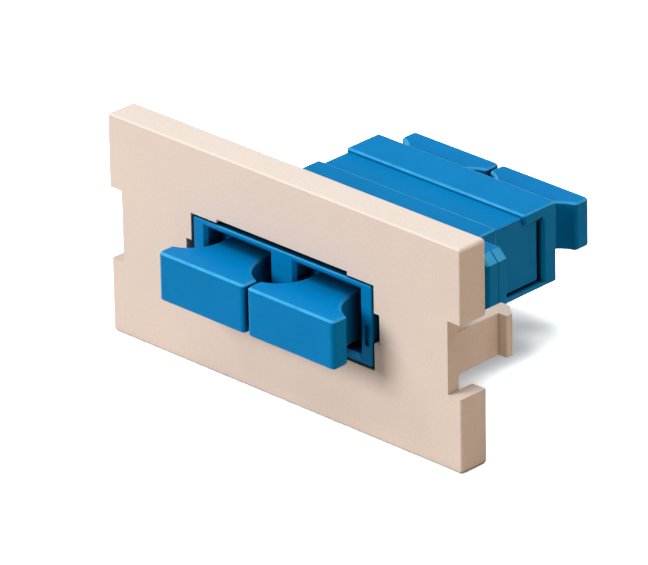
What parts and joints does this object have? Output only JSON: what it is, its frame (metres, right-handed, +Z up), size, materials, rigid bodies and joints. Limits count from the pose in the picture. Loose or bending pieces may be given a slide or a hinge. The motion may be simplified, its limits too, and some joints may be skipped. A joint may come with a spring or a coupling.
{
  "type": "fibre optic adapter module",
  "caption": "Square push-pull fibre connector adapter held in a rectangular snap-in faceplate module, with pull-out dust plugs closing its ports at both ends.",
  "frame": {"origin": "centre of the faceplate's front face, which is also the front mouth of the adapter", "axes": "+X along the faceplate's long side to the right as seen from the front, +Y back through the adapter, +Z up"},
  "size_m": [0.05, 0.0384, 0.025],
  "materials": {
    "faceplate_plastic": "ivory beige moulded plastic, fine satin",
    "housing_plastic": "mid blue moulded plastic, semi-gloss",
    "holder_plastic": "blue moulded plastic, semi-gloss",
    "ceramic": "polished white zirconia",
    "plug_plastic": "bright blue moulded plastic, satin"
  },
  "bodies": {
    "adapter_body": {"faceplate": "faceplate_plastic", "front_housing": "housing_plastic", "rear_housing": "housing_plastic", "front_sleeve_holder_left": "holder_plastic", "front_sleeve_holder_right": "holder_plastic", "rear_sleeve_holder_left": "holder_plastic", "rear_sleeve_holder_right": "holder_plastic", "alignment_sleeve_left": "ceramic", "alignment_sleeve_right": "ceramic"},
    "front_plug_left": {"front_dust_plug_left": "plug_plastic"},
    "front_plug_right": {"front_dust_plug_right": "plug_plastic"},
    "rear_plug_left": {"rear_dust_plug_left": "plug_plastic"},
    "rear_plug_right": {"rear_dust_plug_right": "plug_plastic"}
  },
  "joints": [
    {"name": "front_plug_left_pull", "type": "slide", "parent": "adapter_body", "child": "front_plug_left", "axis": [0, -1, 0], "range_m": [0, 0.012]},
    {"name": "front_plug_right_pull", "type": "slide", "parent": "adapter_body", "child": "front_plug_right", "axis": [0, -1, 0], "range_m": [0, 0.012]},
    {"name": "rear_plug_left_pull", "type": "slide", "parent": "adapter_body", "child": "rear_plug_left", "axis": [0, 1, 0], "range_m": [0, 0.012]},
    {"name": "rear_plug_right_pull", "type": "slide", "parent": "adapter_body", "child": "rear_plug_right", "axis": [0, 1, 0], "range_m": [0, 0.012]}
  ]
}
